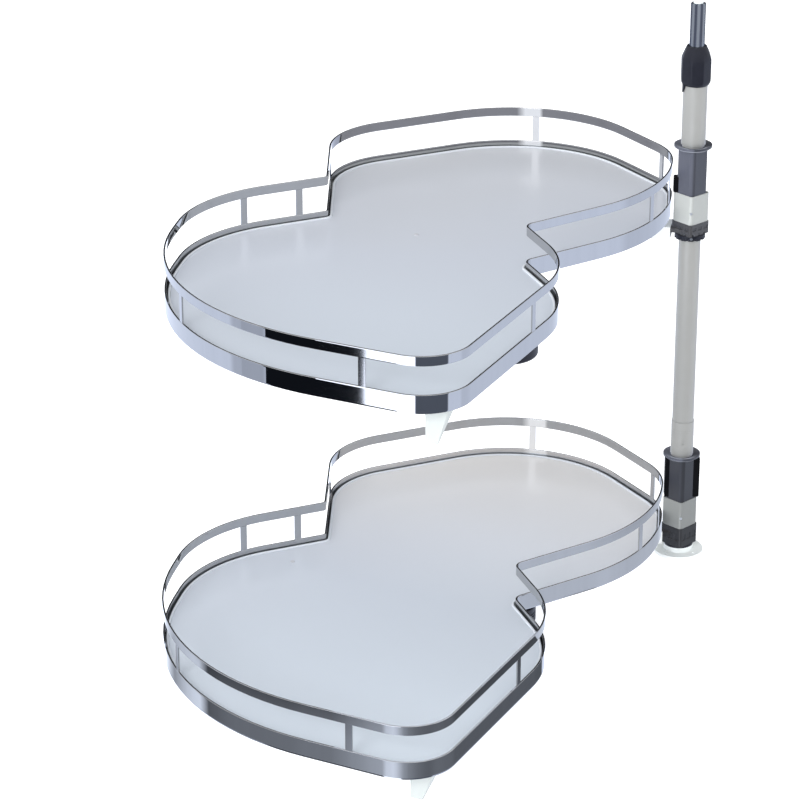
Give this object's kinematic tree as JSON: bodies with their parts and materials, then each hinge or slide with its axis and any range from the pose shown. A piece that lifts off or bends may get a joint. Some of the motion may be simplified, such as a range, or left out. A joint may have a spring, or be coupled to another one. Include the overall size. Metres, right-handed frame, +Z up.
{
  "type": "swing-out corner cabinet tray set",
  "caption": "Two kidney-shaped railed trays that swing out of a corner cabinet on arms around a telescopic floor-to-top post, each tray turning on its arm's end.",
  "frame": {"origin": "centre of the floor plate's underside, on the post's axis", "axes": "+Z up along the post, -Y out of the cabinet's door towards the user, +X to the user's right; both trays are drawn swung out as in the picture"},
  "size_m": [0.6182, 0.8337, 0.692],
  "materials": {
    "white_paint": "satin white powder coat",
    "post_paint": "satin light grey powder coat",
    "bracket_paint": "satin pale greenish grey powder coat",
    "chrome_rail": "bright chrome plating on steel strip",
    "board_laminate": "smooth light blue-grey laminate on chipboard, semi-gloss",
    "edging_plastic": "smooth pale edging",
    "bush_plastic": "smooth dark blue-grey moulding",
    "dark_plastic": "near-black moulding, fine texture",
    "grey_plastic": "dark grey moulding, fine texture",
    "white_plastic": "smooth white moulding",
    "zinc_steel": "zinc plated steel",
    "extension_aluminium": "drawn and fluted, satin"
  },
  "bodies": {
    "post": {"floor_plate": "white_paint", "thrust_washer": "dark_plastic", "post_tube": "post_paint", "spacer_sleeve": "post_paint", "height_ring": "post_paint", "upper_collar": "dark_plastic", "upper_collar_screw": "zinc_steel", "clamp_sleeve": "post_paint", "clamp_collet": "dark_plastic"},
    "nut": {"clamp_nut": "dark_plastic"},
    "extension": {"extension_tube": "extension_aluminium", "extension_guide": "grey_plastic", "top_plate": "white_paint"},
    "upper_arm": {"upper_bracket": "bracket_paint", "upper_bush": "bush_plastic", "upper_stop_lug": "dark_plastic", "upper_hub": "grey_plastic", "upper_arm_tube": "bracket_paint", "upper_arm_cup": "dark_plastic", "upper_glide_disc": "white_plastic", "upper_arm_screws": "zinc_steel", "upper_bracket_rivet": "zinc_steel"},
    "upper_tray": {"upper_top_rail": "chrome_rail", "upper_bottom_rail": "chrome_rail", "upper_rail_posts": "chrome_rail", "upper_board": "board_laminate", "upper_board_edging": "edging_plastic", "upper_carrier": "bracket_paint", "upper_front_tongue": "white_plastic", "upper_carrier_screws": "zinc_steel", "upper_spindle": "zinc_steel", "upper_spindle_nut": "zinc_steel", "upper_damper_housing": "dark_plastic", "upper_board_cap": "edging_plastic"},
    "lower_arm": {"lower_bracket": "bracket_paint", "lower_bush": "bush_plastic", "lower_stop_lugs": "dark_plastic", "lower_hub": "grey_plastic", "lower_arm_tube": "bracket_paint", "lower_arm_cup": "dark_plastic", "lower_glide_disc": "white_plastic", "lower_arm_screws": "zinc_steel", "lower_bracket_rivet": "zinc_steel"},
    "lower_tray": {"lower_top_rail": "chrome_rail", "lower_bottom_rail": "chrome_rail", "lower_rail_posts": "chrome_rail", "lower_board": "board_laminate", "lower_board_edging": "edging_plastic", "lower_carrier": "bracket_paint", "lower_front_tongue": "white_plastic", "lower_carrier_screws": "zinc_steel", "lower_spindle": "zinc_steel", "lower_spindle_nut": "zinc_steel", "lower_damper_housing": "dark_plastic", "lower_board_cap": "edging_plastic"}
  },
  "joints": [
    {"name": "upper_arm_swing", "type": "hinge", "parent": "post", "child": "upper_arm", "pos_m": [0, 0, 0.476], "axis": [0, 0, 1], "range_deg": [-130, 14]},
    {"name": "upper_tray_turn", "type": "hinge", "parent": "upper_arm", "child": "upper_tray", "pos_m": [-0.218, 0.041, 0.41], "axis": [0, 0, 1], "range_deg": [-6, 55]},
    {"name": "lower_arm_swing", "type": "hinge", "parent": "post", "child": "lower_arm", "pos_m": [0, 0, 0.096], "axis": [0, 0, 1], "range_deg": [-144, 0]},
    {"name": "lower_tray_turn", "type": "hinge", "parent": "lower_arm", "child": "lower_tray", "pos_m": [-0.22144, -0.01296, 0.03], "axis": [0, 0, 1], "range_deg": [0, 70]},
    {"name": "clamp_nut_turn", "type": "hinge", "parent": "post", "child": "nut", "pos_m": [0, 0, 0.6], "axis": [0, 0, 1], "range_deg": [0, 180]},
    {"name": "extension_slide", "type": "slide", "parent": "post", "child": "extension", "axis": [0, 0, 1], "range_m": [-0.04, 0.03]}
  ],
  "couplings": [
    {"joint": "upper_tray_turn", "follows": "upper_arm_swing", "ratio": -0.423},
    {"joint": "lower_tray_turn", "follows": "lower_arm_swing", "ratio": -0.486}
  ]
}
